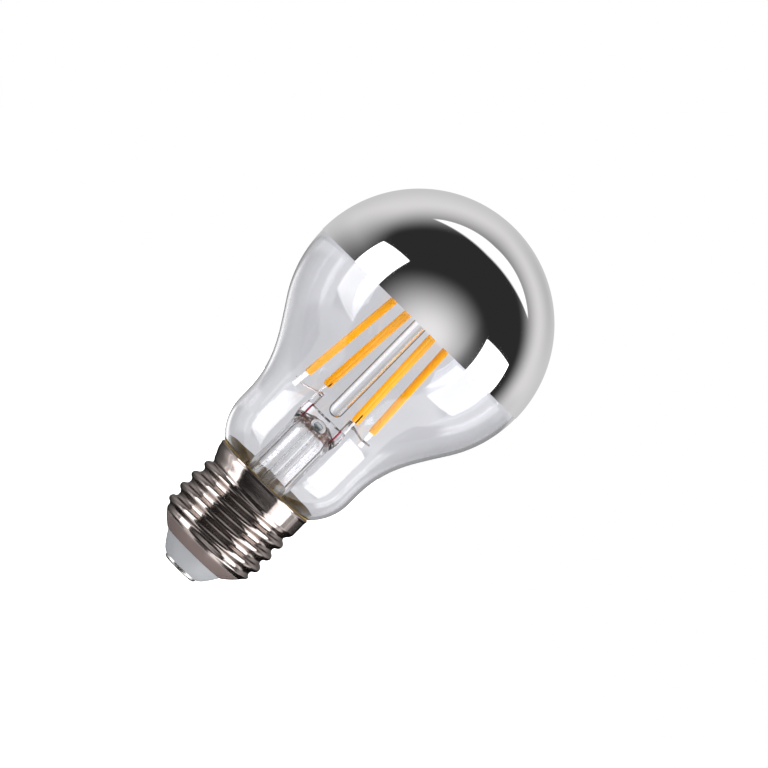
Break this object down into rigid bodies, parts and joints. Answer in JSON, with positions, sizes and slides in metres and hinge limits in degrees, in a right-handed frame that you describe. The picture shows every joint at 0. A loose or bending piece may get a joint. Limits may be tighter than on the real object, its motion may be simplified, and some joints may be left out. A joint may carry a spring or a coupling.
{
  "type": "mirror-top filament lamp",
  "caption": "Clear pear-shaped filament lamp with a silvered crown and an E27 screw cap; the mirror throws the light back past the cap for glare-free lighting.",
  "frame": {"origin": "centre of the centre contact's flat outer face", "axes": "+Z along the lamp's axis from the cap to the silvered crown; +Y away from the viewer of the picture, +X to the right with the lamp upright"},
  "size_m": [0.06, 0.06, 0.106],
  "materials": {
    "clear_glass": "blown clear glass",
    "silver_mirror": "bright vapour-deposited silver",
    "nickel_wire": "drawn wire",
    "lead_wire": "copper-coated wire",
    "phosphor": "phosphor in silicone",
    "tab_metal": "flat plated strip",
    "strip_ceramic": "bare",
    "plated_shell": "nickel-plated rolled sheet",
    "insulator": "moulded, satin",
    "contact_metal": "pressed disc",
    "cement": "baked capping cement",
    "board": "bare laminate",
    "chip": "moulded black",
    "capacitor": "drawn can",
    "resistor": "lacquered",
    "supply_wire": "tinned wire"
  },
  "bodies": {
    "root": {"base_insulator": "insulator", "bridge_rectifier": "chip", "cement_ring": "cement", "centre_contact": "contact_metal", "cross_wire_left": "nickel_wire", "cross_wire_right": "nickel_wire", "driver_board": "board", "exhaust_tube": "clear_glass", "filament_coat_1": "phosphor", "filament_coat_2": "phosphor", "filament_coat_3": "phosphor", "filament_coat_4": "phosphor", "filament_strip_1": "strip_ceramic", "filament_strip_2": "strip_ceramic", "filament_strip_3": "strip_ceramic", "filament_strip_4": "strip_ceramic", "filament_tabs_1": "tab_metal", "filament_tabs_2": "tab_metal", "filament_tabs_3": "tab_metal", "filament_tabs_4": "tab_metal", "fuse_resistor": "resistor", "glass_envelope": "clear_glass", "lead_wire_left": "lead_wire", "lead_wire_right": "lead_wire", "live_wire": "supply_wire", "mirror_coating": "silver_mirror", "neutral_wire": "supply_wire", "regulator_chip": "chip", "screw_shell": "plated_shell", "smoothing_capacitor": "capacitor", "stem_glass": "clear_glass", "support_rod": "clear_glass", "top_wire_lower": "nickel_wire", "top_wire_upper": "nickel_wire"}
  },
  "joints": []
}
